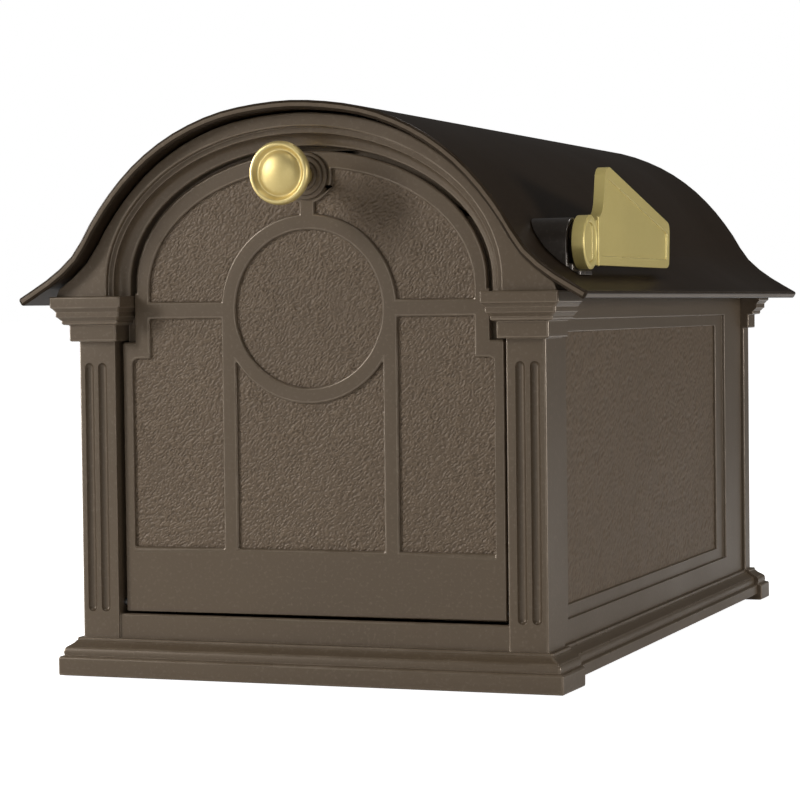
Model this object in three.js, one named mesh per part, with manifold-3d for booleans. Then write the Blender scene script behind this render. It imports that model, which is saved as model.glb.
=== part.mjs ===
import * as THREE from "three";
import { mergeVertices } from "three/addons/utils/BufferGeometryUtils.js";
import Module from "manifold-3d";

const wasm = await Module();
wasm.setup();

// Millimetres. +X is the box's left as it faces you, +Z is up, and the door is at -Y.
// Depths are measured backwards from the front of the plinth and turned into Y by at().
const BODY_DEPTH = 503.6;
const FRAME_DEPTH = 41.5;
const REAR_FRAME = 478.5;
const GAP = 0.3;

const PLINTH_HALF = 151;
const PLINTH = [
  [0, 0], [10.6, 0], [11.3, 2.5], [13, 2.1], [14.8, 2.5], [16, 3.1],
  [17, 4.8], [18.3, 6.7], [19.6, 7.7], [19.8, 8.2], [21.3, 8.2],
];
const SHAFT_IN = 117;
const SHAFT_OUT = 139.7;
const SHAFT_SET = 10.5;
const SHAFT_BOTTOM = 21;
const FLUTES = [125.1, 133.4];
const FLUTE_R = 2.9;
const FLUTE_LOW = 38.9;
const FLUTE_HIGH = 175.9;
const CAPITAL_OUT = 151.3;
const CAPITAL_IN = 107;
const CAPITAL_SET = -3.4;
const CAPITAL_BOTTOM = 191;
const CAPITAL = [
  [191, 8.2], [200.3, 8.2], [200.7, 4.9], [202.8, 4.9], [203.2, 4.3], [204.6, 3.1],
  [204.9, 2.4], [207.8, 2.4], [208.3, 2], [209.7, 0.9], [210.2, 0], [216.5, 0],
];
const HEAD_SET = 1.5;
const HEAD_BACK = 31;

const ARCH_Z = 222.5;
const ARCH_STEPS = [
  [117.7, 85.9, 1.4, 5], [114.6, 82.5, 4.9, 6.6], [108.5, 75.8, 14, 22.5], [103.5, 70.8, 22.4, 32],
];
const ARCH_COVE = [
  [114.6, 82.5, 6.5], [114.2, 82.1, 9.4], [112.8, 80.6, 11.9], [110.9, 78.5, 13.3], [108.5, 75.8, 14.1],
];
const STOP_LIP = 22.5;

const DOOR_FACE = 15.5;
const DOOR_BACK = 20.5;
const FIELD_FLOOR = 18;
const DOOR_HALF = 114.5;
const DOOR_NECK = 106.4;
const DOOR_BOTTOM = 36.5;
const DOOR_SHOULDER = 190.3;
const DOOR_ARCH = [105.4, 73.4];
const FIELD_HALF = 108.5;
const FIELD_NECK = 97.4;
const FIELD_BOTTOM = 73.7;
const FIELD_SHOULDER = 180.6;
const FIELD_ARCH = [97.4, 66.8];
const FIELD_ARCH_Z = 219.6;
const RING_Z = 208.2;
const RING_IN = 43.9;
const RING_OUT = 53;
const RAIL_LOW = 203.2;
const RAIL_HIGH = 213;
const BAR_HALF = 4.7;
const SILL_TOP = 35.3;
const HINGE_DEPTH = 21;
const HINGE_Z = 41;
const PIN_R = 2;
const BUMPER_X = 113.2;

const KNOB_Z = 281.9;
const ROSETTE_R = 13.3;

const ROOF_FRONT = -8;
const ROOF_BACK = 519;
const ROOF_THICK = 4.9;
const ROOF_HALF = [
  [0, 322.4], [27.7, 320.2], [50.3, 315.1], [73.7, 304.9], [93.9, 290.9], [110.6, 274],
  [124, 255.8], [130.7, 244.4], [138, 236], [149.8, 226.8], [168.9, 215.4],
];
const ROOF_POST_X = 125;
const ROOF_POSTS = [120, 400];

const WALL_OUT = 137.5;
const WALL_IN = 131.3;
const WALL_TOP = 225;
const WALL_BOTTOM = 4.2;
const WALL_MOULDING = 148.2;
const FLOOR_LOW = 21.1;
const FLOOR_HIGH = 23.6;
const WALL_TABS = [80, 180];
const TAB_X = 126.5;
const FLOOR_FIXINGS = [100, 410];
const PLATE_FIXINGS = [150, 350];
const REAR_PANEL = [474.4, 478.2];

const FLAG_DEPTH = 39.2;
const FLAG_Z = 242.5;
const FLAG_IN = 150.6;
const FLAG_OUT = 156.6;
const HUB_R = 14.8;
const BOSS_R = 13.6;
const BOSS_END = 147.4;

const PAINT = { color: 0x655a4e, roughness: 0.45, metalness: 0.35 };
const ROOF_PAINT = { color: 0x4a4039, roughness: 0.4, metalness: 0.35 };
const BRASS = { color: 0xc8b464, roughness: 0.25, metalness: 0.9 };
const GOLD_PAINT = { color: 0xa59b64, roughness: 0.5, metalness: 0.2 };
const STEEL = { color: 0x9a9c9e, roughness: 0.35, metalness: 0.9 };
const RUBBER = { color: 0x1c1c1c, roughness: 0.9, metalness: 0 };
const FERRITE = { color: 0x2b2b2d, roughness: 0.6, metalness: 0.1 };
const PLASTIC = { color: 0x33302d, roughness: 0.6, metalness: 0 };

const at = (depth) => depth - BODY_DEPTH / 2;

function solid(geometry) {
  const bare = geometry.clone();
  bare.deleteAttribute("normal");
  bare.deleteAttribute("uv");
  const merged = mergeVertices(bare, 1e-4);
  return new wasm.Manifold(new wasm.Mesh({
    numProp: 3,
    vertProperties: merged.attributes.position.array,
    triVerts: new Uint32Array(merged.index.array),
  }));
}

function geometryOf(body) {
  const mesh = body.getMesh();
  const geometry = new THREE.BufferGeometry();
  geometry.setAttribute("position", new THREE.BufferAttribute(mesh.vertProperties, 3));
  geometry.setIndex(new THREE.BufferAttribute(mesh.triVerts, 1));
  return geometry;
}

function box(x0, x1, d0, d1, z0, z1) {
  const geometry = new THREE.BoxGeometry(x1 - x0, d1 - d0, z1 - z0);
  geometry.translate((x0 + x1) / 2, at((d0 + d1) / 2), (z0 + z1) / 2);
  return solid(geometry);
}

// A shape drawn in X and Z, run backwards from depth d0 to d1.
function alongY(shape, d0, d1, curveSegments = 24) {
  const geometry = new THREE.ExtrudeGeometry(shape, {
    depth: d1 - d0, bevelEnabled: false, curveSegments,
  });
  geometry.rotateX(Math.PI / 2);
  geometry.translate(0, at(d1), 0);
  return solid(geometry);
}

// A shape drawn in depth and Z, run from x0 to x1.
function alongX(shape, x0, x1, curveSegments = 16) {
  const geometry = new THREE.ExtrudeGeometry(shape, {
    depth: x1 - x0, bevelEnabled: false, curveSegments,
  });
  const turn = new THREE.Matrix4().makeBasis(
    new THREE.Vector3(0, 1, 0), new THREE.Vector3(0, 0, 1), new THREE.Vector3(1, 0, 0));
  geometry.applyMatrix4(turn);
  geometry.translate(x0, at(0), 0);
  return solid(geometry);
}

function rodX(depth, z, r, x0, x1, segments = 24) {
  const geometry = new THREE.CylinderGeometry(r, r, x1 - x0, segments);
  geometry.rotateZ(Math.PI / 2);
  geometry.translate((x0 + x1) / 2, at(depth), z);
  return solid(geometry);
}

function rodY(x, z, r, d0, d1, segments = 12) {
  const geometry = new THREE.CylinderGeometry(r, r, d1 - d0, segments);
  geometry.translate(x, at((d0 + d1) / 2), z);
  return solid(geometry);
}

function rodZ(x, depth, r, z0, z1, segments = 12) {
  const geometry = new THREE.CylinderGeometry(r, r, z1 - z0, segments);
  geometry.rotateX(Math.PI / 2);
  geometry.translate(x, at(depth), (z0 + z1) / 2);
  return solid(geometry);
}

const polygon = (points) => new THREE.Shape(points.map(([x, y]) => new THREE.Vector2(x, y)));
const rectangle = (x0, x1, y0, y1) => polygon([[x0, y0], [x1, y0], [x1, y1], [x0, y1]]);

function circle(x, z, r) {
  const shape = new THREE.Shape();
  shape.absarc(x, z, r, 0, 2 * Math.PI, false);
  return shape;
}

function arch(half, rise, centreZ, bottom) {
  const shape = new THREE.Shape();
  shape.moveTo(-half, bottom);
  shape.lineTo(half, bottom);
  shape.lineTo(half, centreZ);
  shape.absellipse(0, centreZ, half, rise, 0, Math.PI, false, 0);
  shape.closePath();
  return shape;
}

// The roof's section from the left eave to the right one, set in from its outer face.
function roofLine(inset, steps = 40) {
  const left = ROOF_HALF.slice(1).reverse().map(([x, z]) => new THREE.Vector2(-x, z));
  const right = ROOF_HALF.map(([x, z]) => new THREE.Vector2(x, z));
  const curve = new THREE.SplineCurve([...left, ...right]);
  return Array.from({ length: steps + 1 }, (_, i) => {
    const point = curve.getPointAt(i / steps);
    const tangent = curve.getTangentAt(i / steps);
    return [point.x + tangent.y * inset, point.y - tangent.x * inset];
  });
}

// A moulding that turns round both ends and one long face of a frame's foot.
function plinth(front, back, rearward) {
  const face = polygon([
    ...PLINTH.map(([z, inset]) => [PLINTH_HALF - inset, z]),
    ...[...PLINTH].reverse().map(([z, inset]) => [inset - PLINTH_HALF, z]),
  ]);
  const set = PLINTH.map(([z, inset]) => (rearward ? [back - inset, z] : [front + inset, z]));
  const plain = rearward ? front : back;
  const side = polygon([[plain, 0], ...set, [plain, PLINTH.at(-1)[0]]]);
  return alongY(face, front - 1, back + 1).intersect(alongX(side, -200, 200));
}

function capital(front, back, rearward) {
  const inner = (inset) => CAPITAL_IN + 0.8 * inset;
  const face = polygon([
    ...CAPITAL.map(([z, inset]) => [CAPITAL_OUT - inset, z]),
    ...[...CAPITAL].reverse().map(([z, inset]) => [inner(inset), z]),
  ]);
  const set = CAPITAL.map(([z, inset]) => (rearward ? [back - inset, z] : [front + inset, z]));
  const plain = rearward ? front : back;
  const side = polygon([[plain, CAPITAL_BOTTOM], ...set, [plain, CAPITAL.at(-1)[0]]]);
  return alongY(face, front - 1, back + 1).intersect(alongX(side, 0, 200));
}

// An arched opening that narrows as it goes back, through each half width, rise and depth in turn.
function archFunnel(rings) {
  const outlines = rings.map(([half, rise, depth]) => arch(half, rise, ARCH_Z, 215)
    .extractPoints(24).shape.map((p) => [p.x, at(depth), p.y]));
  return outlines.slice(1).map((outline, i) => wasm.Manifold.hull([...outlines[i], ...outline]))
    .reduce((sum, part) => sum.add(part));
}

const bothSides = (body) => body.add(body.mirror([1, 0, 0]));

function frameHead(d0, d1) {
  const line = roofLine(ROOF_THICK + 1.2).filter(([x]) => Math.abs(x) < 148);
  const floor = CAPITAL.at(-1)[0] - 0.2;
  return alongY(polygon([[149.5, floor], [-149.5, floor], ...line]), d0, d1);
}

// A round-bottomed groove with rounded ends, its axis just in front of the shaft's face.
function flute(x, low, high) {
  const ends = [low, high].map((z) => {
    const ball = new THREE.SphereGeometry(FLUTE_R, 20, 10);
    ball.translate(x, at(SHAFT_SET - 0.6), z);
    return solid(ball);
  });
  return wasm.Manifold.hull(ends);
}

function frontFrame() {
  const shaft = box(SHAFT_IN, SHAFT_OUT, SHAFT_SET, FRAME_DEPTH, SHAFT_BOTTOM, CAPITAL_BOTTOM + 0.2);
  const flutes = FLUTES.map((x) => flute(x, FLUTE_LOW, FLUTE_HIGH));
  const pilaster = flutes.reduce((sum, cut) => sum.subtract(cut), shaft)
    .add(capital(CAPITAL_SET, FRAME_DEPTH, false))
    .add(box(111, 117.2, STOP_LIP, 26, 52, 190))
    .add(box(101.5, 114, STOP_LIP, 26, 189, 223))
    .subtract(rodX(HINGE_DEPTH, HINGE_Z, 2.3, 116, 124.5));
  const head = ARCH_STEPS.reduce((sum, [half, rise, d0, d1]) => sum.subtract(
    alongY(arch(half, rise, ARCH_Z, 215), d0, d1)),
  frameHead(HEAD_SET, HEAD_BACK).subtract(archFunnel(ARCH_COVE)));
  const sill = box(-SHAFT_IN - 0.2, SHAFT_IN + 0.2, 12, 16, SHAFT_BOTTOM, SILL_TOP);
  const hollow = box(-140, 140, 12, 37, -1, 16.5);
  const bores = WALL_TABS.map((z) => rodY(TAB_X, z, 2.3, 29, 42));
  const body = plinth(0, FRAME_DEPTH, false).add(bothSides(pilaster)).add(head).add(sill);
  return bores.reduce((sum, cut) => sum.subtract(bothSides(cut)), body.subtract(hollow));
}

function rearFrame() {
  const back = BODY_DEPTH;
  const shaft = box(SHAFT_IN, SHAFT_OUT, REAR_FRAME, back - SHAFT_SET, SHAFT_BOTTOM, CAPITAL_BOTTOM + 0.2);
  const pilaster = shaft.add(capital(REAR_FRAME, back - CAPITAL_SET, true));
  const head = frameHead(REAR_FRAME, back - HEAD_SET)
    .subtract(alongY(arch(117.7, 85.9, ARCH_Z, 215), back - 6, back))
    .subtract(alongY(arch(113, 80.9, ARCH_Z, 215), back - 11, back))
    .subtract(alongY(arch(108.5, 75.8, ARCH_Z, 215), REAR_FRAME - 1, back));
  const hollow = box(-140, 140, REAR_FRAME + 5, back - 12, -1, 16.5);
  const bores = WALL_TABS.map((z) => rodY(TAB_X, z, 2.3, REAR_FRAME - 1, REAR_FRAME + 12));
  const panelBores = [rodY(113.5, 206, 1.8, REAR_FRAME - 1, REAR_FRAME + 9),
    rodY(60, 14, 1.8, REAR_FRAME - 1, REAR_FRAME + 4)];
  const body = plinth(REAR_FRAME, back, true).add(bothSides(pilaster)).add(head);
  return [...bores, ...panelBores].reduce(
    (sum, cut) => sum.subtract(bothSides(cut)), body.subtract(hollow));
}

function rearPanel() {
  const [d0, d1] = REAR_PANEL;
  const plate = alongY(arch(113.3, 80.6, ARCH_Z, 10), d0, d1)
    .add(box(-118.6, 118.6, d0, d1, 10, 216));
  const field = alongY(arch(98, 65.5, ARCH_Z, 36), d1 - 1.3, d1 + 1);
  const bores = [rodY(113.5, 206, 1.8, d0 - 1, d1 + 1), rodY(60, 14, 1.8, d0 - 1, d1 + 1)];
  return bores.reduce((sum, cut) => sum.subtract(bothSides(cut)), plate.subtract(field));
}

function sideWall() {
  const d0 = FRAME_DEPTH + GAP;
  const d1 = REAR_FRAME - GAP;
  const foot = PLINTH.filter(([z]) => z > 10).map(([z, inset]) => [WALL_MOULDING - inset, z]);
  const section = polygon([[WALL_IN, WALL_BOTTOM], [WALL_MOULDING, WALL_BOTTOM], ...foot,
    [WALL_OUT, 21.3], [WALL_OUT, WALL_TOP], [WALL_IN, WALL_TOP]]);
  const tabs = [
    ...WALL_TABS.flatMap((z) => [
      box(120, WALL_IN + 1, d0, d0 + 3, z - 10, z + 10).subtract(rodY(TAB_X, z, 2.3, d0 - 1, d0 + 4)),
      box(120, WALL_IN + 1, d1 - 3, d1, z - 10, z + 10).subtract(rodY(TAB_X, z, 2.3, d1 - 4, d1 + 1)),
    ]),
    ...FLOOR_FIXINGS.map((d) => box(120, WALL_IN + 1, d - 10, d + 10, 17.8, 20.8)
      .subtract(rodZ(127, d, 2.3, 17, 22))),
    ...ROOF_POSTS.map((d) => box(117, WALL_IN + 1, d - 10, d + 10, 217.2, 220.2)
      .subtract(rodZ(ROOF_POST_X, d, 2.3, 216, 221))),
  ];
  const border = alongX(rectangle(55, 430, 34.5, 200.5), WALL_OUT - 1.9, WALL_OUT + 1);
  const field = alongX(rectangle(59, 411, 42, 193.5), WALL_OUT - 3.9, WALL_OUT + 1);
  return tabs.reduce((sum, tab) => sum.add(tab), alongY(section, d0, d1))
    .subtract(border).subtract(field);
}

function floorPan() {
  const pan = box(-130.9, 130.9, 42.2, 474, FLOOR_LOW, FLOOR_HIGH)
    .add(box(-116.5, 116.5, 18, 43, FLOOR_LOW + 0.5, FLOOR_HIGH));
  const holes = [
    ...FLOOR_FIXINGS.map((d) => rodZ(127, d, 2.3, 20, 25)),
    ...PLATE_FIXINGS.map((d) => rodZ(80, d, 2.3, 20, 25)),
  ];
  return holes.reduce((sum, cut) => sum.subtract(bothSides(cut)), pan);
}

function mountingPlate() {
  const section = polygon([
    [-70, 0], [70, 0], [70, 17.8], [90, 17.8], [90, 20.8], [67, 20.8],
    [67, 3], [-67, 3], [-67, 20.8], [-90, 20.8], [-90, 17.8], [-70, 17.8],
  ]);
  const holes = PLATE_FIXINGS.flatMap((d) => [
    rodZ(80, d, 2.3, 17, 22),
    rodZ(45, d, 3.5, -1, 4),
  ]);
  return holes.reduce((sum, cut) => sum.subtract(bothSides(cut)), alongY(section, 110, 390));
}

function roofShell() {
  const outer = roofLine(0);
  const inner = roofLine(ROOF_THICK).reverse();
  const shell = alongY(polygon([...outer, ...inner].reverse()), ROOF_FRONT, ROOF_BACK);
  const posts = ROOF_POSTS.map((d) => bothSides(rodZ(ROOF_POST_X, d, 5, 220.6, 243)));
  const bores = ROOF_POSTS.map((d) => bothSides(rodZ(ROOF_POST_X, d, 2.3, 219, 236)));
  const body = posts.reduce((sum, post) => sum.add(post), shell);
  return bores.reduce((sum, cut) => sum.subtract(cut), body)
    .subtract(rodX(FLAG_DEPTH, FLAG_Z, 3.6, 100, 140));
}

function doorOutline() {
  const shape = new THREE.Shape();
  shape.moveTo(-DOOR_HALF, DOOR_BOTTOM);
  shape.lineTo(DOOR_HALF, DOOR_BOTTOM);
  shape.lineTo(DOOR_HALF, DOOR_SHOULDER);
  shape.lineTo(DOOR_NECK, DOOR_SHOULDER);
  shape.lineTo(DOOR_NECK, 218.5);
  shape.lineTo(DOOR_ARCH[0], 218.5);
  shape.lineTo(DOOR_ARCH[0], ARCH_Z);
  shape.absellipse(0, ARCH_Z, DOOR_ARCH[0], DOOR_ARCH[1], 0, Math.PI, false, 0);
  shape.lineTo(-DOOR_ARCH[0], 218.5);
  shape.lineTo(-DOOR_NECK, 218.5);
  shape.lineTo(-DOOR_NECK, DOOR_SHOULDER);
  shape.lineTo(-DOOR_HALF, DOOR_SHOULDER);
  shape.closePath();
  return shape;
}

// The sunken fields: a shouldered arch, less the ring, the rails and the bars that stay proud.
function doorFields() {
  const d0 = DOOR_FACE - 1;
  const d1 = FIELD_FLOOR;
  const r = 3;
  const lower = new THREE.Shape();
  lower.moveTo(-FIELD_HALF, FIELD_BOTTOM);
  lower.lineTo(FIELD_HALF, FIELD_BOTTOM);
  lower.lineTo(FIELD_HALF, FIELD_SHOULDER - r);
  lower.absarc(FIELD_HALF - r, FIELD_SHOULDER - r, r, 0, Math.PI / 2, false);
  lower.lineTo(r - FIELD_HALF, FIELD_SHOULDER);
  lower.absarc(r - FIELD_HALF, FIELD_SHOULDER - r, r, Math.PI / 2, Math.PI, false);
  lower.closePath();
  const upper = arch(FIELD_ARCH[0], FIELD_ARCH[1], FIELD_ARCH_Z, FIELD_SHOULDER - 1);
  const ring = alongY(circle(0, RING_Z, RING_OUT), d0 - 1, d1 + 1, 32)
    .subtract(alongY(circle(0, RING_Z, RING_IN), d0 - 2, d1 + 2, 32));
  const upright = box(RING_IN, RING_OUT, d0 - 1, d1 + 1, FIELD_BOTTOM - 1, RING_Z);
  const rail = box(RING_OUT - 3, FIELD_HALF + 2, d0 - 1, d1 + 1, RAIL_LOW, RAIL_HIGH);
  const stem = box(-BAR_HALF, BAR_HALF, d0 - 1, d1 + 1, RING_Z + RING_OUT - 3, 290);
  const pad = alongY(circle(0, KNOB_Z, ROSETTE_R + 2.2), d0 - 1, d1 + 1);
  return alongY(lower, d0, d1, 5).add(alongY(upper, d0, d1))
    .subtract(ring).subtract(bothSides(upright)).subtract(bothSides(rail))
    .subtract(stem).subtract(pad);
}

function door() {
  const lug = rodX(HINGE_DEPTH, HINGE_Z, 4.2, 98, DOOR_HALF - 0.5)
    .add(box(98, DOOR_HALF - 0.5, DOOR_FACE + 2, HINGE_DEPTH, HINGE_Z - 4.2, HINGE_Z + 4.2));
  return alongY(doorOutline(), DOOR_FACE, DOOR_BACK)
    .subtract(doorFields())
    .add(bothSides(lug))
    .subtract(bothSides(rodX(HINGE_DEPTH, HINGE_Z, 2.3, 99.5, 116)))
    .subtract(rodY(0, KNOB_Z, 2.4, DOOR_FACE - 1, DOOR_BACK + 1));
}

function turned(profile, segments) {
  const points = profile.map(([r, y]) => new THREE.Vector2(r, y));
  return new THREE.LatheGeometry(points, segments);
}

// The knob's profile runs from its face, at the front, to the foot of its stem.
function knob() {
  const body = solid(turned([
    [0, -26], [3.6, -25.8], [7.4, -25.2], [10.4, -23.9], [12.4, -22.5], [13.8, -23.3], [14.6, -24.5],
    [15.7, -25], [16.8, -24.2], [17.4, -22.4], [17.1, -20], [15, -18],
    [11, -16.6], [8.2, -14.9], [6.5, -12.4], [5.4, -7], [5.2, 2], [6.4, 7.6], [6.4, 9.2], [0, 9.2],
  ], 24));
  return body.translate([0, at(0), KNOB_Z]).subtract(rodY(0, KNOB_Z, 2.4, -6, 12));
}

function rosette() {
  const body = solid(turned([
    [0, 9.5], [7.6, 9.5], [8.4, 10.1], [8.8, 11.4], [10.3, 11.6], [11, 12.2], [11.3, 13.2],
    [12.7, 13.4], [13.3, 14], [13.3, 15.2], [0, 15.2],
  ], 24));
  return body.translate([0, at(0), KNOB_Z]).subtract(rodY(0, KNOB_Z, 2.4, 8, 17));
}

// A pan-head screw whose head sits at y = 0 and whose shank runs towards -Y.
function screw(length, shankR = 2, headR = 3.9, headH = 2.4) {
  const body = solid(turned([
    [0, -length], [shankR, 1 - length], [shankR, 0], [headR, 0], [headR, headH * 0.5],
    [headR * 0.7, headH], [0, headH],
  ], 10));
  const slot = solid(new THREE.BoxGeometry(headR * 1.1, headH, 0.9).translate(0, headH * 1.1, 0));
  return geometryOf(body.subtract(slot));
}

function flagOutline() {
  const shape = new THREE.Shape();
  shape.moveTo(44, 230.2);
  shape.lineTo(201, 229.9);
  shape.quadraticCurveTo(208.6, 229.9, 208.9, 234.6);
  shape.lineTo(210.3, 251.6);
  shape.quadraticCurveTo(210.3, 255.6, 206.5, 257.4);
  shape.lineTo(80.5, 284.8);
  shape.quadraticCurveTo(72.4, 285.6, 70, 280);
  shape.lineTo(66.9, 266);
  shape.quadraticCurveTo(65, 258.6, 56, 255.6);
  shape.lineTo(44, 253);
  shape.closePath();
  return shape;
}

function flag() {
  const hub = rodX(FLAG_DEPTH, FLAG_Z, HUB_R, FLAG_IN - 0.2, FLAG_OUT + 0.3, 36)
    .subtract(rodX(FLAG_DEPTH, FLAG_Z, HUB_R - 2, FLAG_OUT - 0.4, FLAG_OUT + 1, 36));
  const field = polygon([[62, 235.4], [203, 235.1], [204.6, 250.8], [76, 278.6], [71.5, 262]]);
  return alongX(flagOutline(), FLAG_IN, FLAG_OUT, 6)
    .subtract(alongX(field, FLAG_OUT - 0.8, FLAG_OUT + 1))
    .add(hub)
    .subtract(rodX(FLAG_DEPTH, FLAG_Z, 3.3, FLAG_IN - 2, FLAG_OUT - 1.4));
}

function flagBracket() {
  const shape = new THREE.Shape();
  shape.moveTo(FLAG_DEPTH - BOSS_R, 215);
  shape.lineTo(FLAG_DEPTH + BOSS_R, 215);
  shape.lineTo(FLAG_DEPTH + BOSS_R, FLAG_Z);
  shape.absarc(FLAG_DEPTH, FLAG_Z, BOSS_R, 0, Math.PI, false);
  shape.closePath();
  const roofBelow = alongY(polygon([[-172, 150], ...roofLine(-GAP), [172, 150]].reverse()), -10, 90);
  const foot = box(BOSS_END - 2, BOSS_END + 2.7, FLAG_DEPTH - 11.5, FLAG_DEPTH + 11.5, 215, 230.9)
    .add(box(BOSS_END, BOSS_END + 7, FLAG_DEPTH - 11.5, FLAG_DEPTH + 11.5, 215, 227.3));
  return alongX(shape, 118, BOSS_END)
    .add(foot)
    .subtract(roofBelow)
    .subtract(rodX(FLAG_DEPTH, FLAG_Z, 3.3, 100, 160));
}

function flagSpacer() {
  return rodX(FLAG_DEPTH, FLAG_Z, 11.2, BOSS_END + GAP, FLAG_IN - 0.5, 28)
    .subtract(rodX(FLAG_DEPTH, FLAG_Z, 3.3, 140, 160))
    .subtract(box(140, 160, FLAG_DEPTH - 13, FLAG_DEPTH - 9, FLAG_Z - 2, FLAG_Z + 2));
}

function flagBolt() {
  return rodX(FLAG_DEPTH, FLAG_Z, 3, 108, FLAG_OUT - 1.8, 20);
}

function flagNut() {
  return rodX(FLAG_DEPTH, FLAG_Z, 5.8, 112, 117, 6)
    .subtract(rodX(FLAG_DEPTH, FLAG_Z, 3.3, 111, 118, 20));
}

function hingePin() {
  return rodX(HINGE_DEPTH, HINGE_Z, PIN_R, 100, 124, 16);
}

function catchHousing() {
  return box(24, 50, 22.2, 36, 271, 283)
    .add(box(28, 46, HEAD_BACK + GAP, 36, 280, 296))
    .subtract(box(28, 46, 21, 30, 274, 280));
}

function catchMagnet() {
  return box(28.3, 45.7, 22.2, 29.7, 274.3, 279.7);
}

function strikePlate() {
  return box(26, 48, DOOR_BACK + GAP, 21.7, 272, 282);
}

function bumper() {
  return rodY(0, 0, 3.4, 20.8, 22.2, 20);
}

const assembly = new THREE.Group();

function place(name, body, look, position = [0, 0, 0], rotation = [0, 0, 0]) {
  const geometry = body.isBufferGeometry ? body : geometryOf(body);
  const mesh = new THREE.Mesh(geometry, new THREE.MeshStandardMaterial(look));
  mesh.name = name;
  mesh.position.set(...position);
  mesh.rotation.set(...rotation);
  assembly.add(mesh);
  return mesh;
}

place("front_frame", frontFrame(), PAINT);
place("rear_frame", rearFrame(), PAINT);
place("rear_panel", rearPanel(), PAINT);
const wall = sideWall();
place("side_wall_right", wall, PAINT);
place("side_wall_left", wall.mirror([1, 0, 0]), PAINT);
place("floor_pan", floorPan(), PAINT);
place("mounting_plate", mountingPlate(), STEEL);
place("roof_shell", roofShell(), ROOF_PAINT);
place("door", door(), PAINT);
place("knob", knob(), BRASS);
place("knob_rosette", rosette(), PAINT);
place("knob_screw", screw(18, 2, 4.4, 2.6), STEEL, [0, at(DOOR_BACK + GAP), KNOB_Z]);
place("hinge_pin_right", hingePin(), STEEL);
place("hinge_pin_left", hingePin().mirror([1, 0, 0]), STEEL);
place("catch_housing", catchHousing(), PLASTIC);
place("catch_magnet", catchMagnet(), FERRITE);
place("strike_plate", strikePlate(), STEEL);
place("door_bumper_right", bumper(), RUBBER, [BUMPER_X, 0, 150]);
place("door_bumper_left", bumper(), RUBBER, [-BUMPER_X, 0, 150]);
place("flag", flag(), GOLD_PAINT);
place("flag_bracket", flagBracket(), ROOF_PAINT);
place("flag_spacer", flagSpacer(), ROOF_PAINT);
place("flag_bolt", flagBolt(), STEEL);
place("flag_nut", flagNut(), STEEL);

[[1, "right"], [-1, "left"]].forEach(([side, hand]) => {
  [["lower", WALL_TABS[0]], ["upper", WALL_TABS[1]]].forEach(([level, z]) => {
    place(`front_screw_${level}_${hand}`, screw(12), STEEL,
      [side * TAB_X, at(FRAME_DEPTH + 2 * GAP + 3), z]);
    place(`rear_screw_${level}_${hand}`, screw(12), STEEL,
      [side * TAB_X, at(REAR_FRAME - 2 * GAP - 3), z], [Math.PI, 0, 0]);
  });
  [["front", 0], ["rear", 1]].forEach(([end, i]) => {
    place(`floor_screw_${end}_${hand}`, screw(9), STEEL,
      [side * 127, at(FLOOR_FIXINGS[i]), FLOOR_HIGH + GAP], [Math.PI / 2, 0, 0]);
    place(`roof_screw_${end}_${hand}`, screw(16), STEEL,
      [side * ROOF_POST_X, at(ROOF_POSTS[i]), 217.2 - GAP], [-Math.PI / 2, 0, 0]);
    place(`plate_screw_${end}_${hand}`, screw(12), STEEL,
      [side * 80, at(PLATE_FIXINGS[i]), FLOOR_HIGH + GAP], [Math.PI / 2, 0, 0]);
  });
  [["upper", 113.5, 206, 9], ["lower", 60, 14, 7]].forEach(([level, x, z, length]) => {
    place(`panel_screw_${level}_${hand}`, screw(length, 1.5, 3, 1.8), STEEL,
      [side * x, at(REAR_PANEL[0] - GAP), z], [Math.PI, 0, 0]);
  });
});

export default assembly;
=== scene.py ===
import bpy
import bmesh
import math
from mathutils import Matrix, Vector, noise


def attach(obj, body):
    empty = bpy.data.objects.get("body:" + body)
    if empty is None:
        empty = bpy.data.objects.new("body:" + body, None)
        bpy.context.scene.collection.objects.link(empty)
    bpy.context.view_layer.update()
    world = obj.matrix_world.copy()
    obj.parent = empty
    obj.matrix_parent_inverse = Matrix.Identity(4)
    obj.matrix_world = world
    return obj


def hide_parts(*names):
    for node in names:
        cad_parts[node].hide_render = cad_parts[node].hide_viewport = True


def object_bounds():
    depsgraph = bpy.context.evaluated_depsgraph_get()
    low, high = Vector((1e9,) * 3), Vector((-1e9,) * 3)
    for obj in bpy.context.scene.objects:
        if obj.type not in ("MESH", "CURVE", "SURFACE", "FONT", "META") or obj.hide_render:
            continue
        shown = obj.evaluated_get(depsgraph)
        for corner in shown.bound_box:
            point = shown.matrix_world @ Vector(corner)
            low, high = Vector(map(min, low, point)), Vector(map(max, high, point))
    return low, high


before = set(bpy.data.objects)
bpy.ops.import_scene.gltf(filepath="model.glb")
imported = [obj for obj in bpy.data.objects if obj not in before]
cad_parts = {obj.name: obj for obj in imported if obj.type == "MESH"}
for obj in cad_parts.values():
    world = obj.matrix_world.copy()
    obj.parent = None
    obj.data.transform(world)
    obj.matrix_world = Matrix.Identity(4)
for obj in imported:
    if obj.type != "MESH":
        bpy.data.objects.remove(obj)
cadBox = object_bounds()
scene = bpy.context.scene
mm = 0.001
bodyDepth = 503.6  # the box's own depth, so a depth behind the plinth's face becomes a Y


def atDepth(depth):
    return (depth - bodyDepth / 2) * mm


# camera

cameraSpec = {
    "azimuth": 20.384,
    "elevation": 2.001,
    "roll": -0.690,
    "distance": 1.4732,
    "aim": (0.0507, -0.2271, 0.1571),
    "lens": 119.83,
}


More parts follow.
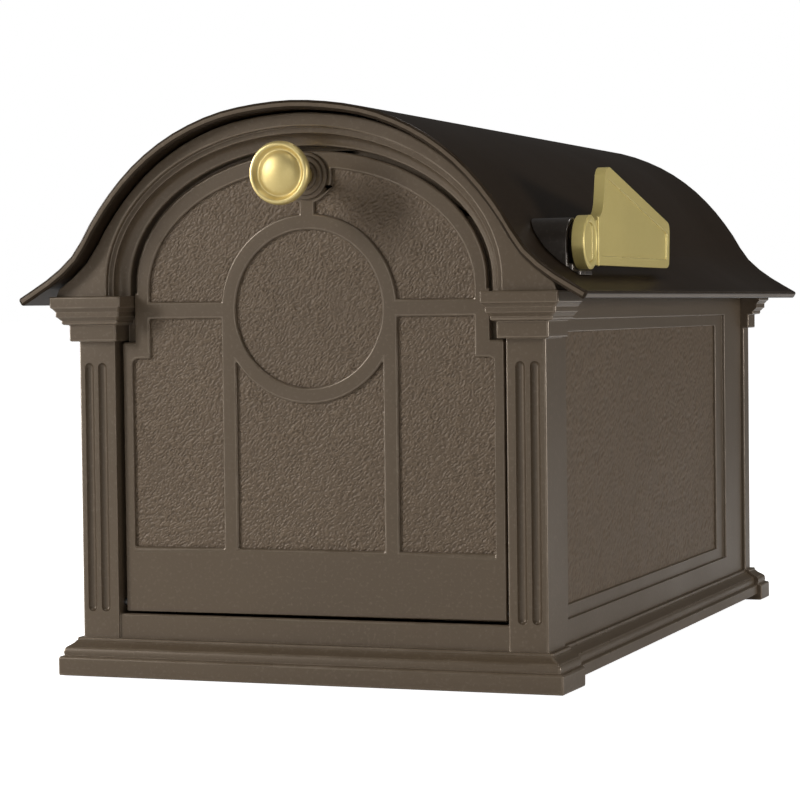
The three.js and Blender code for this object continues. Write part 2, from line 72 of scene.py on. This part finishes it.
def makeCamera(spec):
    data = bpy.data.cameras.new("camera")
    data.lens = spec["lens"]
    data.sensor_width = 36
    data.clip_start, data.clip_end = 0.05, 50
    a, e, r = (math.radians(spec[k]) for k in ("azimuth", "elevation", "roll"))
    back = Vector((math.sin(a) * math.cos(e), -math.cos(a) * math.cos(e), math.sin(e)))
    right = Vector((math.cos(a), math.sin(a), 0))
    up = back.cross(right)
    turn = Matrix((right, up, back)).transposed() @ Matrix.Rotation(r, 3, "Z")
    made = bpy.data.objects.new("camera", data)
    made.matrix_world = Matrix.Translation(Vector(spec["aim"]) + back * spec["distance"]) @ turn.to_4x4()
    scene.collection.objects.link(made)
    scene.camera = made


makeCamera(cameraSpec)
print("camera in place")


# finishes: colours are linear, and patch and grain are noise scales per metre

edgeWearAndHighlight = 0.35  # how far rubbed edges go towards the worn colour: part real wear, part painted highlight along the edges

finishes = {
    "bodyPaint": {
        "color": (0.133, 0.095, 0.059), "dark": (0.087, 0.062, 0.039), "wornAndHighlight": (0.34, 0.27, 0.20),
        "metallic": 0.30, "roughness": (0.33, 0.45), "patch": 7, "grain": 1500, "bump": 0.06,
        "coat": 0.15, "shine": 0.5,
    },
    "fieldPaint": {
        "color": (0.162, 0.113, 0.070), "dark": (0.106, 0.074, 0.046), "wornAndHighlight": (0.34, 0.27, 0.20),
        "metallic": 0.20, "roughness": (0.42, 0.52), "patch": 7, "grain": 1500, "bump": 0.06,
        # painted shade: hollow darkens the bottoms of the wrinkles
        "coat": 0.0, "shine": 0.45, "hollow": 0.75,
    },
    # painted shade: a darker copy of the body paint for the roof's top and slopes; the flag spacer uses it too
    "roofShadedPaint": {
        "color": (0.027, 0.0170, 0.0095), "dark": (0.017, 0.0108, 0.0060), "wornAndHighlight": (0.080, 0.062, 0.045),
        "metallic": 0.10, "roughness": (0.30, 0.40), "patch": 5, "grain": 1300, "bump": 0.04,
        "coat": 0.0, "shine": 0.05,
    },
    "bracketPaint": {
        "color": (0.050, 0.036, 0.025), "dark": (0.034, 0.024, 0.016), "wornAndHighlight": (0.24, 0.20, 0.16),
        "metallic": 0.30, "roughness": (0.22, 0.32), "patch": 30, "grain": 1500, "bump": 0.04,
        "coat": 0.4, "shine": 0.6,
    },
    "polishedBrass": {
        "color": (0.78, 0.62, 0.26), "dark": (0.60, 0.45, 0.16), "wornAndHighlight": (0.90, 0.78, 0.44),
        "metallic": 0.75, "roughness": (0.42, 0.50), "patch": 40, "grain": 2500, "bump": 0.02,
        "coat": 0.1, "shine": 0.5,
    },
    "goldPaint": {
        "color": (0.74, 0.60, 0.215), "dark": (0.62, 0.50, 0.175), "wornAndHighlight": (0.80, 0.70, 0.38),
        "metallic": 0.35, "roughness": (0.34, 0.46), "patch": 18, "grain": 1800, "bump": 0.05,
        "coat": 0.1, "shine": 0.5,
    },
    # painted shade for the low walls of the flag's sunken face
    "goldShade": {
        "color": (0.30, 0.24, 0.085), "dark": (0.22, 0.17, 0.06), "wornAndHighlight": (0.60, 0.50, 0.25),
        "metallic": 0.20, "roughness": (0.45, 0.55), "patch": 18, "grain": 1800, "bump": 0.05,
        "coat": 0.0, "shine": 0.3,
    },
    "zincSteel": {
        "color": (0.52, 0.53, 0.54), "dark": (0.36, 0.37, 0.38), "wornAndHighlight": (0.72, 0.73, 0.74),
        "metallic": 1.0, "roughness": (0.26, 0.42), "patch": 90, "grain": 3000, "bump": 0.05,
        "coat": 0.0, "shine": 0.5,
    },
    "rubber": {
        "color": (0.020, 0.020, 0.021), "dark": (0.012, 0.012, 0.012), "wornAndHighlight": (0.05, 0.05, 0.05),
        "metallic": 0.0, "roughness": (0.70, 0.86), "patch": 200, "grain": 4000, "bump": 0.12,
        "coat": 0.0, "shine": 0.5,
    },
    "catchPlastic": {
        "color": (0.045, 0.038, 0.032), "dark": (0.030, 0.026, 0.022), "wornAndHighlight": (0.10, 0.09, 0.08),
        "metallic": 0.0, "roughness": (0.45, 0.60), "patch": 120, "grain": 3500, "bump": 0.08,
        "coat": 0.0, "shine": 0.5,
    },
    "ferrite": {
        "color": (0.030, 0.030, 0.032), "dark": (0.018, 0.018, 0.020), "wornAndHighlight": (0.09, 0.09, 0.09),
        "metallic": 0.2, "roughness": (0.50, 0.68), "patch": 300, "grain": 5000, "bump": 0.15,
        "coat": 0.0, "shine": 0.5,
    },
}


def makeFinish(name, spec, wearAndHighlight):
    material = bpy.data.materials.new(name)
    material.use_nodes = True
    nodes, links = material.node_tree.nodes, material.node_tree.links
    shader = nodes["Principled BSDF"]
    place = nodes.new("ShaderNodeTexCoord")

    def noiseOf(scale, detail, roughness=0.5):
        node = nodes.new("ShaderNodeTexNoise")
        node.inputs["Scale"].default_value = scale
        node.inputs["Detail"].default_value = detail
        node.inputs["Roughness"].default_value = roughness
        links.new(place.outputs["Object"], node.inputs["Vector"])
        return node.outputs["Fac"]

    def ranged(value, low, high, toLow, toHigh):
        node = nodes.new("ShaderNodeMapRange")
        for socket, number in zip(node.inputs[1:5], (low, high, toLow, toHigh)):
            socket.default_value = number
        links.new(value, node.inputs["Value"])
        return node.outputs["Result"]

    def blended(factor, first, second):
        node = nodes.new("ShaderNodeMix")
        node.data_type = "RGBA"
        links.new(factor, node.inputs["Factor"])
        for socket, value in ((6, first), (7, second)):
            if isinstance(value, tuple):
                node.inputs[socket].default_value = (*value, 1)
            else:
                links.new(value, node.inputs[socket])
        return node.outputs[2]

    patches = noiseOf(spec["patch"], 5)
    grain = noiseOf(spec["grain"], 3)
    speckle = noiseOf(spec["grain"] * 0.35, 2)
    tone = blended(ranged(patches, 0.30, 0.70, 0.0, 0.42), spec["color"], spec["dark"])
    tone = blended(ranged(speckle, 0.55, 0.75, 0.0, 0.16), tone, spec["wornAndHighlight"])
    if wearAndHighlight:  # rubbed edges: paler where the rubbing noise is high, real wear that also serves as a painted highlight
        rubbingAndHighlight = ranged(noiseOf(spec["patch"] * 9, 4), 0.35, 0.65, wearAndHighlight * 0.4, wearAndHighlight)
        tone = blended(rubbingAndHighlight, tone, spec["wornAndHighlight"])
    if "hollow" in spec:  # painted shade: the bottoms of the wrinkles are darker
        height = nodes.new("ShaderNodeAttribute")
        height.attribute_name = "height"
        tone = blended(ranged(height.outputs["Fac"], 0.1, 0.9, spec["hollow"], 0.0), tone, spec["dark"])
    links.new(tone, shader.inputs["Base Color"])
    low, high = (value - wearAndHighlight * 0.35 for value in spec["roughness"])  # rubbing also polishes
    links.new(ranged(patches, 0.3, 0.7, low, high), shader.inputs["Roughness"])
    bump = nodes.new("ShaderNodeBump")
    bump.inputs["Strength"].default_value = spec["bump"]
    bump.inputs["Distance"].default_value = 0.0004
    links.new(grain, bump.inputs["Height"])
    links.new(bump.outputs["Normal"], shader.inputs["Normal"])
    shader.inputs["Metallic"].default_value = spec["metallic"]
    shader.inputs["Specular IOR Level"].default_value = spec["shine"]
    shader.inputs["Coat Weight"].default_value = spec["coat"]
    shader.inputs["Coat Roughness"].default_value = 0.35
    return material


finish = {name: makeFinish(name, spec, 0) for name, spec in finishes.items()}
# edge finishes: paler rubbed copies, part wear and part painted highlight
rubbedAndHighlit = {name: makeFinish(name + "Edge", spec, edgeWearAndHighlight) for name, spec in finishes.items()}
print("finishes made")


# castings: each is a copy of its solid, merged and given softened edges
# node: name, body, slot, finish, edge radius in mm, segments

castings = {
    "front_frame": ("frontFrame", "housing", "body_paint", "bodyPaint", 1.2, 3),
    "rear_frame": ("rearFrame", "housing", "body_paint", "bodyPaint", 0.9, 3),
    "rear_panel": ("rearPanel", "housing", "body_paint", "bodyPaint", 0.6, 2),
    "side_wall_right": ("sideWallRight", "housing", "body_paint", "bodyPaint", 0.5, 2),
    "side_wall_left": ("sideWallLeft", "housing", "body_paint", "bodyPaint", 0.5, 2),
    "floor_pan": ("floorPan", "housing", "body_paint", "bodyPaint", 0.4, 2),
    "mounting_plate": ("mountingPlate", "housing", "zinc_steel", "zincSteel", 0.5, 2),
    "roof_shell": ("roofShell", "housing", "roof_paint", "roofShadedPaint", 1.5, 4),
    "door": ("doorLeaf", "door_leaf", "body_paint", "bodyPaint", 1.5, 4),
    "flag": ("flagBlade", "signal_flag", "gold_paint", "goldPaint", 1.6, 4),
    "flag_bracket": ("flagBracket", "housing", "roof_paint", "bracketPaint", 0.8, 3),
    "flag_spacer": ("flagSpacer", "housing", "roof_paint", "roofShadedPaint", 0.4, 2),
    "catch_housing": ("catchHousing", "housing", "catch_plastic", "catchPlastic", 0.6, 2),
}


edgeSpec = {
    "merge": 3e-5,  # metres, vertices closer than this are one
    "sliver": 1.2e-4,  # metres, shorter edges are dissolved
    "flat": 0.5,  # degrees, faces this close to one plane are merged
    "sharp": 28,  # degrees, edges that turn more than this are softened
    "inLine": 0.77,  # cosine above which neighbouring edges share one radius
    "outer": (1.0, 0.55),  # largest weight on an outer corner, and its share of the room beside it
    "inner": (0.4, 0.25),  # the same on an inner corner, which gets a small fillet
}


def addPiece(name, work, body, look, replaced=(), edge=0, segments=2, sharp=0):
    mesh = bpy.data.meshes.new(name)
    work.to_mesh(mesh)
    work.free()
    mesh.shade_smooth()
    mesh.materials.append(finish[look])
    piece = bpy.data.objects.new(name, mesh)
    scene.collection.objects.link(piece)
    if edge:
        mesh.materials.append(rubbedAndHighlit[look])
        soften(piece, edge, segments, sharp)
    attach(piece, body)
    if replaced:
        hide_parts(*replaced)
    return piece


def soften(piece, edge, segments, sharp):
    bevel = piece.modifiers.new("softEdges", "BEVEL")
    bevel.width = edge * mm
    bevel.segments = segments
    bevel.use_clamp_overlap = False
    bevel.limit_method = "ANGLE" if sharp else "WEIGHT"
    if sharp:
        bevel.angle_limit = math.radians(sharp)
    bevel.miter_outer = "MITER_PATCH"
    # the bevel faces take the rubbed finish, whose paler tone is part painted highlight
    bevel.material = len(piece.data.materials) - 1
    even = piece.modifiers.new("evenFaces", "WEIGHTED_NORMAL")
    even.mode = "FACE_AREA"
    even.weight = 50


def solidCopy(node, edge, p):
    work = bmesh.new()
    work.from_mesh(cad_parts[node].data)
    bmesh.ops.remove_doubles(work, verts=work.verts, dist=p["merge"])
    bmesh.ops.dissolve_limit(
        work, angle_limit=math.radians(p["flat"]), verts=work.verts, edges=work.edges)
    bmesh.ops.dissolve_degenerate(work, dist=p["sliver"], edges=work.edges)
    bmesh.ops.connect_verts_concave(work, faces=work.faces)
    weight = work.edges.layers.float.new("bevel_weight_edge")
    for chain in sharpChains(work, p):
        room = min(roomBeside(e, p["inLine"]) for e in chain) / (edge * mm)
        outer = chain[0].calc_face_angle_signed(0) > 0
        most, share = p["outer" if outer else "inner"]
        for e in chain:
            e[weight] = min(most, share * room)
    return work


def sharpChains(work, p):  # runs of sharp edges that go on in nearly one line
    def turn(e):
        return math.degrees(e.calc_face_angle_signed(0))

    def heading(e):
        return (e.verts[1].co - e.verts[0].co).normalized()

    chains, left = [], {e for e in work.edges if abs(turn(e)) > p["sharp"]}
    while left:
        chain = [left.pop()]
        for e in chain:  # the list grows while it is walked
            for near in [n for v in e.verts for n in v.link_edges if n in left]:
                if abs(heading(near).dot(heading(e))) > p["inLine"] and turn(near) * turn(e) > 0:
                    left.discard(near)
                    chain.append(near)
        chains.append(chain)
    return chains


def roomBeside(e, inLine):  # how far a face beside the edge goes before it ends
    along = (e.verts[1].co - e.verts[0].co).normalized()
    room = min(f.calc_area() for f in e.link_faces) / e.calc_length()
    for f in e.link_faces:
        for g in f.edges:
            if g is not e and (g.verts[0] in e.verts or g.verts[1] in e.verts):
                side = g.verts[1].co - g.verts[0].co
                if abs(side.normalized().dot(along)) < inLine:
                    room = min(room, side.length)
    return room


def paintLitRims(piece):  # painted light: the arched rims and the eaves get the lighter body paint, a lit copy beside the roof's darker shaded paint
    piece.data.materials.append(finish["bodyPaint"])
    for face in piece.data.polygons:
        if abs(face.normal.y) > 0.9 or abs(face.center.x) > 0.166:
            face.material_index = 2


def paintRecessShade(piece):  # painted shade: the low walls around the sunken faces get a darker gold
    piece.data.materials.append(finish["goldShade"])
    face = max(v.co.x for v in piece.data.vertices)
    for wall in piece.data.polygons:
        if abs(wall.normal.x) < 0.3 and wall.center.x > face - 0.6 * mm:
            wall.material_index = 2


painted = {"roof_shell": paintLitRims, "flag": paintRecessShade}
for node, (name, body, slot, look, edge, segments) in castings.items():
    made = addPiece(name, solidCopy(node, edge, edgeSpec), body, look, (node,), edge, segments)
    if node in painted:
        painted[node](made)
print("castings copied and softened")


# hammered fields: dense slabs laid in the sunken panels, under the raised bars

fieldSpec = {
    "relief": 0.46,  # mm, from the bottom of a wrinkle to its top
    "lean": 42,  # degrees from level that the wrinkles lean
    "along": 2.3,  # mm, a wrinkle's length
    "across": 1.15,  # mm, from one wrinkle to the next
    "wander": 0.8,  # mm, how far the wrinkles stray
    "thick": 0.8,  # mm, how deep a slab's skirt goes
    "under": 1.8,  # mm that a slab runs on under its border
}


def wrinkle(u, v, spec):
    lean = math.radians(spec["lean"])
    long = u * math.cos(lean) + v * math.sin(lean)
    wide = v * math.cos(lean) - u * math.sin(lean)
    stray = noise.noise_vector(Vector((u * 0.2, v * 0.2, 3.1))) * spec["wander"]
    spot = Vector(((long + stray.x) / spec["along"], (wide + stray.y) / spec["across"], 0.4))
    ridge = 1 - min(1.1, abs(noise.noise(spot)) * 2.1)
    small = noise.noise(spot * 1.9 + Vector((7, 3, 1)))
    broad = noise.noise(Vector((u * 0.09, v * 0.09, 5.2)))
    return spec["relief"] * ((ridge - 0.5) * (0.8 + 0.5 * broad) + 0.5 * small + 0.2 * broad)


def hammeredField(name, rect, step, inside, place, body, spec):
    u0, u1, v0, v1 = rect
    work = bmesh.new()
    bmesh.ops.create_grid(
        work, x_segments=round((u1 - u0) / step), y_segments=round((v1 - v0) / step), size=1,
        matrix=Matrix.Translation(((u0 + u1) / 2, (v0 + v1) / 2, 0))
        @ Matrix.Diagonal(((u1 - u0) / 2, (v1 - v0) / 2, 1, 1)))
    outside = [v for v in work.verts if not inside(v.co.x, v.co.y)]
    bmesh.ops.delete(work, geom=outside, context="VERTS")
    # the height attribute also drives the painted shade in the wrinkle bottoms
    height = work.verts.layers.float.new("height")
    for v in work.verts:
        v.co.z = wrinkle(v.co.x, v.co.y, spec)
        v[height] = 0.5 + v.co.z / spec["relief"]
    rim = [e for e in work.edges if e.is_boundary]
    skirt = bmesh.ops.extrude_edge_only(work, edges=rim)["geom"]
    for v in (g for g in skirt if isinstance(g, bmesh.types.BMVert)):
        v.co.z = -spec["thick"]
    bmesh.ops.holes_fill(work, edges=[e for e in work.edges if e.is_boundary], sides=0)
    bmesh.ops.transform(work, matrix=place, verts=work.verts)
    bmesh.ops.recalc_face_normals(work, faces=work.faces)
    addPiece(name, work, body, "fieldPaint")


upright = Matrix.Rotation(math.radians(90), 4, "X") @ Matrix.Diagonal((mm, mm, mm, 1))

panelSpec = {
    "half": 108.5, "neck": 97.4, "bottom": 73.7, "shoulder": 180.6,
    "archHalf": 97.4, "archRise": 66.8, "archZ": 219.6,
    "ringZ": 208.2, "ringIn": 43.9, "ringOut": 53.0, "railLow": 203.2, "railHigh": 213.0,
    "floor": 17.5, "step": 0.36,
}


def doorFields(p, spec):
    more = spec["under"]
    onDoor = Matrix.Translation((0, atDepth(p["floor"]), 0)) @ upright
    ringMid = (p["ringIn"] + p["ringOut"]) / 2

    def fromRing(u, v):
        return math.hypot(u, v - p["ringZ"])

    def insideArch(u, v):
        return ((u / (p["archHalf"] + more)) ** 2 + ((v - p["archZ"]) / (p["archRise"] + more)) ** 2 < 1
                or v < p["archZ"] and abs(u) < p["neck"] + more)

    def insideLower(u, v):
        return abs(u) < p["neck"] + more or v < p["shoulder"] + more

    low, high = p["bottom"] - more, p["archZ"] + p["archRise"] + more
    edge = p["half"] + more
    railMid = (p["railLow"] + p["railHigh"]) / 2
    windows = {
        "fieldRound": ((-ringMid, ringMid, p["ringZ"] - ringMid, p["ringZ"] + ringMid),
                       lambda u, v: fromRing(u, v) < ringMid),
        "fieldMiddle": ((-ringMid, ringMid, low, p["ringZ"]), lambda u, v: fromRing(u, v) > ringMid),
        "fieldLowerLeft": ((-edge, -ringMid, low, railMid),
                           lambda u, v: insideLower(u, v) and fromRing(u, v) > ringMid),
        "fieldLowerRight": ((ringMid, edge, low, railMid),
                            lambda u, v: insideLower(u, v) and fromRing(u, v) > ringMid),
        "fieldUpperLeft": ((-edge, 0, railMid, high),
                           lambda u, v: insideArch(u, v) and fromRing(u, v) > ringMid),
        "fieldUpperRight": ((0, edge, railMid, high),
                            lambda u, v: insideArch(u, v) and fromRing(u, v) > ringMid),
    }
    for name, (rect, inside) in windows.items():
        hammeredField(name, rect, p["step"], inside, onDoor, "door_leaf", spec)


doorFields(panelSpec, fieldSpec)

sideSpec = {"front": 59, "back": 411, "low": 42, "high": 193.5, "floor": 133.95, "step": 0.78}


def sideFields(p, spec):
    more = spec["under"]
    rect = (p["front"] - more, p["back"] + more, p["low"] - more, p["high"] + more)
    turned = Matrix(((0, 0, 1, 0), (1, 0, 0, 0), (0, 1, 0, 0), (0, 0, 0, 1)))
    scaled = Matrix.Diagonal((mm, mm, mm, 1))
    right = Matrix.Translation((p["floor"] * mm, atDepth(0), 0)) @ turned @ scaled
    hammeredField("sideFieldRight", rect, p["step"], lambda u, v: True, right, "housing", spec)
    hammeredField("sideFieldLeft", rect, p["step"], lambda u, v: True,
                  Matrix.Diagonal((-1, 1, 1, 1)) @ right, "housing", spec)


# the sides and the rear have larger wrinkles than the door
coarseSpec = {**fieldSpec, "along": 3.6, "across": 2.0, "relief": 0.42}
sideFields(sideSpec, coarseSpec)

rearSpec = {"half": 98, "rise": 65.5, "archZ": 222.5, "low": 36, "floor": 477.05, "step": 1.0}


def rearField(p, spec):
    more = spec["under"]
    half, rise = p["half"] + more, p["rise"] + more
    rect = (-half, half, p["low"] - more, p["archZ"] + rise)
    place = Matrix.Translation((0, atDepth(p["floor"]), 0)) @ Matrix.Rotation(math.pi, 4, "Z") @ upright
    hammeredField("rearField", rect, p["step"],
                  lambda u, v: v < p["archZ"] or (u / half) ** 2 + ((v - p["archZ"]) / rise) ** 2 < 1,
                  place, "housing", spec)


rearField(rearSpec, coarseSpec)
print("hammered fields laid")


# pull knob and its rosette, turned about the knob's axis

knobSpec = {
    "z": 281.9,
    "steps": 72,
    "profile": (
        (0, -26.0), (3, -25.9), (6, -25.5), (8.6, -24.8), (10.4, -23.9), (11.6, -23.0), (12.4, -22.5),
        (13.1, -22.6), (13.8, -23.3), (14.4, -24.2), (15.1, -24.8), (16.0, -24.8), (16.8, -24.1),
        (17.3, -22.9), (17.4, -21.4), (17.0, -19.9), (16.0, -18.7), (14.2, -17.7), (11.0, -16.6), (8.2, -14.9),
        (6.5, -12.4), (5.6, -9.0), (5.2, -4.0), (5.2, 2.0), (5.6, 5.2), (6.4, 7.6), (6.4, 9.2), (0, 9.2),
    ),
    "rosette": (
        (0, 9.5), (7.2, 9.5), (8.1, 9.9), (8.5, 10.6), (8.6, 11.4), (10.2, 11.5), (10.9, 11.9),
        (11.2, 12.6), (11.3, 13.3), (12.5, 13.4), (13.1, 13.8), (13.3, 14.5), (13.3, 15.2), (0, 15.2),
    ),
}


def turnedPiece(profile, steps, z):
    work = bmesh.new()
    points = [work.verts.new((r * mm, atDepth(d), z * mm)) for r, d in profile]
    edges = [work.edges.new(pair) for pair in zip(points, points[1:])]
    bmesh.ops.spin(
        work, geom=points + edges, cent=(0, 0, z * mm), axis=(0, 1, 0), angle=2 * math.pi,
        steps=steps, use_merge=True, use_duplicate=False)
    bmesh.ops.remove_doubles(work, verts=work.verts, dist=1e-6)
    bmesh.ops.recalc_face_normals(work, faces=work.faces)
    return work


addPiece("pullKnob", turnedPiece(knobSpec["profile"], knobSpec["steps"], knobSpec["z"]),
         "door_leaf", "polishedBrass", ("knob",), 0.25, 2, 40)
addPiece("knobRosette", turnedPiece(knobSpec["rosette"], knobSpec["steps"], knobSpec["z"]),
         "door_leaf", "bodyPaint", ("knob_rosette",), 0.2, 2, 40)
print("knob turned")


# raised work on the flag: the hub's rim and the bead beside it

flagSpec = {
    "axis": (39.2, 242.5),
    "face": 156.6,
    "rim": ((10.4, -0.3), (10.9, 0.25), (11.8, 0.7), (13.0, 0.8), (14.0, 0.45), (14.5, -0.3)),
    "bead": (54.4, 229.5, 257.0, 0.9),
}


def flagTrim(p):
    depth, z = p["axis"]
    work = bmesh.new()
    loop = [work.verts.new(((p["face"] + out) * mm, atDepth(depth), (z + r) * mm)) for r, out in p["rim"]]
    edges = [work.edges.new((a, b)) for a, b in zip(loop, loop[1:] + loop[:1])]
    bmesh.ops.spin(
        work, geom=loop + edges, cent=(0, atDepth(depth), z * mm), axis=(1, 0, 0), angle=2 * math.pi,
        steps=64, use_merge=True, use_duplicate=False)
    bmesh.ops.remove_doubles(work, verts=work.verts, dist=1e-6)
    bmesh.ops.recalc_face_normals(work, faces=work.faces)
    addPiece("flagHubRim", work, "signal_flag", "goldPaint")
    depth, low, high, r = p["bead"]
    work = bmesh.new()
    bmesh.ops.create_cone(
        work, cap_ends=True, segments=20, radius1=r * mm, radius2=r * mm, depth=(high - low) * mm,
        matrix=Matrix.Translation(((p["face"] - 0.1) * mm, atDepth(depth), (low + high) / 2 * mm)))
    ends = [e for e in work.edges if all(abs(v.co.z - e.verts[0].co.z) < 1e-6 for v in e.verts)]
    bmesh.ops.bevel(
        work, geom=ends, offset=r * 0.7 * mm, affect="EDGES", segments=3, profile=0.5, material=-1)
    addPiece("flagBead", work, "signal_flag", "goldPaint")


flagTrim(flagSpec)
print("flag trimmed")


# small hardware keeps its solid, welded and with its edges broken

hardwareLooks = {
    "screw": "zincSteel", "pin": "zincSteel", "bolt": "zincSteel", "nut": "zincSteel",
    "strike": "zincSteel", "bumper": "rubber", "magnet": "ferrite",
}


def dressHardware(looks):
    for name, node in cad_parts.items():
        look = next((v for k, v in looks.items() if k in name), None)
        if look is None or node.hide_render:
            continue
        node.data.materials.clear()
        node.data.materials.append(finish[look])
        weld = node.modifiers.new("weld", "WELD")
        weld.merge_threshold = 1e-5
        soften(node, 0.2, 2, 40)


dressHardware(hardwareLooks)
print("hardware dressed")


# floor, backdrop and light

stageSpec = {
    "floorHalf": 40.0,
    "floorGlow": 0.97,
    "floorBounce": 0.05,
    "world": 0.07,
    "centre": (0, 0, 0.16),  # the lamps face this point
    "lamps": {  # place, size and power
        "keyLeft": ((-2.15, -2.23, 1.2), (0.5, 1.3), 44),
        "fillRight": ((2.7, 0.1, 0.40), (1.4, 0.6), 30),
        "faceFront": ((0.5, -3.0, 0.4), (1.2, 1.2), 7),
        "edgeLeft": ((-2.6, 0.0, 0.7), (1.0, 1.4), 85),
        "topFront": ((0.7, -1.1, 2.5), (0.9, 0.3), 8),
        "rimTop": ((0.25, 1.0, 2.3), (0.4, 0.4), 6),
    },
}


def cameraOnly(tree, seen, bounce):
    path = tree.nodes.new("ShaderNodeLightPath")
    level = tree.nodes.new("ShaderNodeMapRange")
    level.inputs["To Min"].default_value = bounce
    level.inputs["To Max"].default_value = seen
    tree.links.new(path.outputs["Is Camera Ray"], level.inputs["Value"])
    return level.outputs["Result"]


def makeStage(spec):
    work = bmesh.new()
    bmesh.ops.create_grid(work, x_segments=1, y_segments=1, size=spec["floorHalf"])
    mesh = bpy.data.meshes.new("floor")
    work.to_mesh(mesh)
    work.free()
    floor = bpy.data.objects.new("floor", mesh)
    scene.collection.objects.link(floor)
    floor.location.z = cadBox[0].z - 0.0005
    material = bpy.data.materials.new("paleFloor")
    material.use_nodes = True
    tree = material.node_tree
    shader = tree.nodes["Principled BSDF"]
    shader.inputs["Base Color"].default_value = (0.80, 0.80, 0.80, 1)
    shader.inputs["Roughness"].default_value = 0.9
    shader.inputs["Emission Color"].default_value = (1, 1, 1, 1)
    glow = cameraOnly(tree, spec["floorGlow"], spec["floorBounce"])
    tree.links.new(glow, shader.inputs["Emission Strength"])
    mesh.materials.append(material)
    world = bpy.data.worlds.new("studio")
    scene.world = world
    world.use_nodes = True
    sky = world.node_tree.nodes["Background"]
    sky.inputs["Color"].default_value = (1, 1, 1, 1)
    world.node_tree.links.new(cameraOnly(world.node_tree, 1.0, spec["world"]), sky.inputs["Strength"])
    centre = Vector(spec["centre"])
    for name, (place, size, power) in spec["lamps"].items():
        data = bpy.data.lights.new(name, "AREA")
        data.shape = "RECTANGLE"
        data.size, data.size_y = size
        data.energy = power
        lamp = bpy.data.objects.new(name, data)
        lamp.location = place
        lamp.rotation_euler = (centre - Vector(place)).to_track_quat("-Z", "Y").to_euler()
        scene.collection.objects.link(lamp)


makeStage(stageSpec)
scene.view_settings.view_transform = "Standard"
scene.view_settings.look = "None"
print("stage lit")
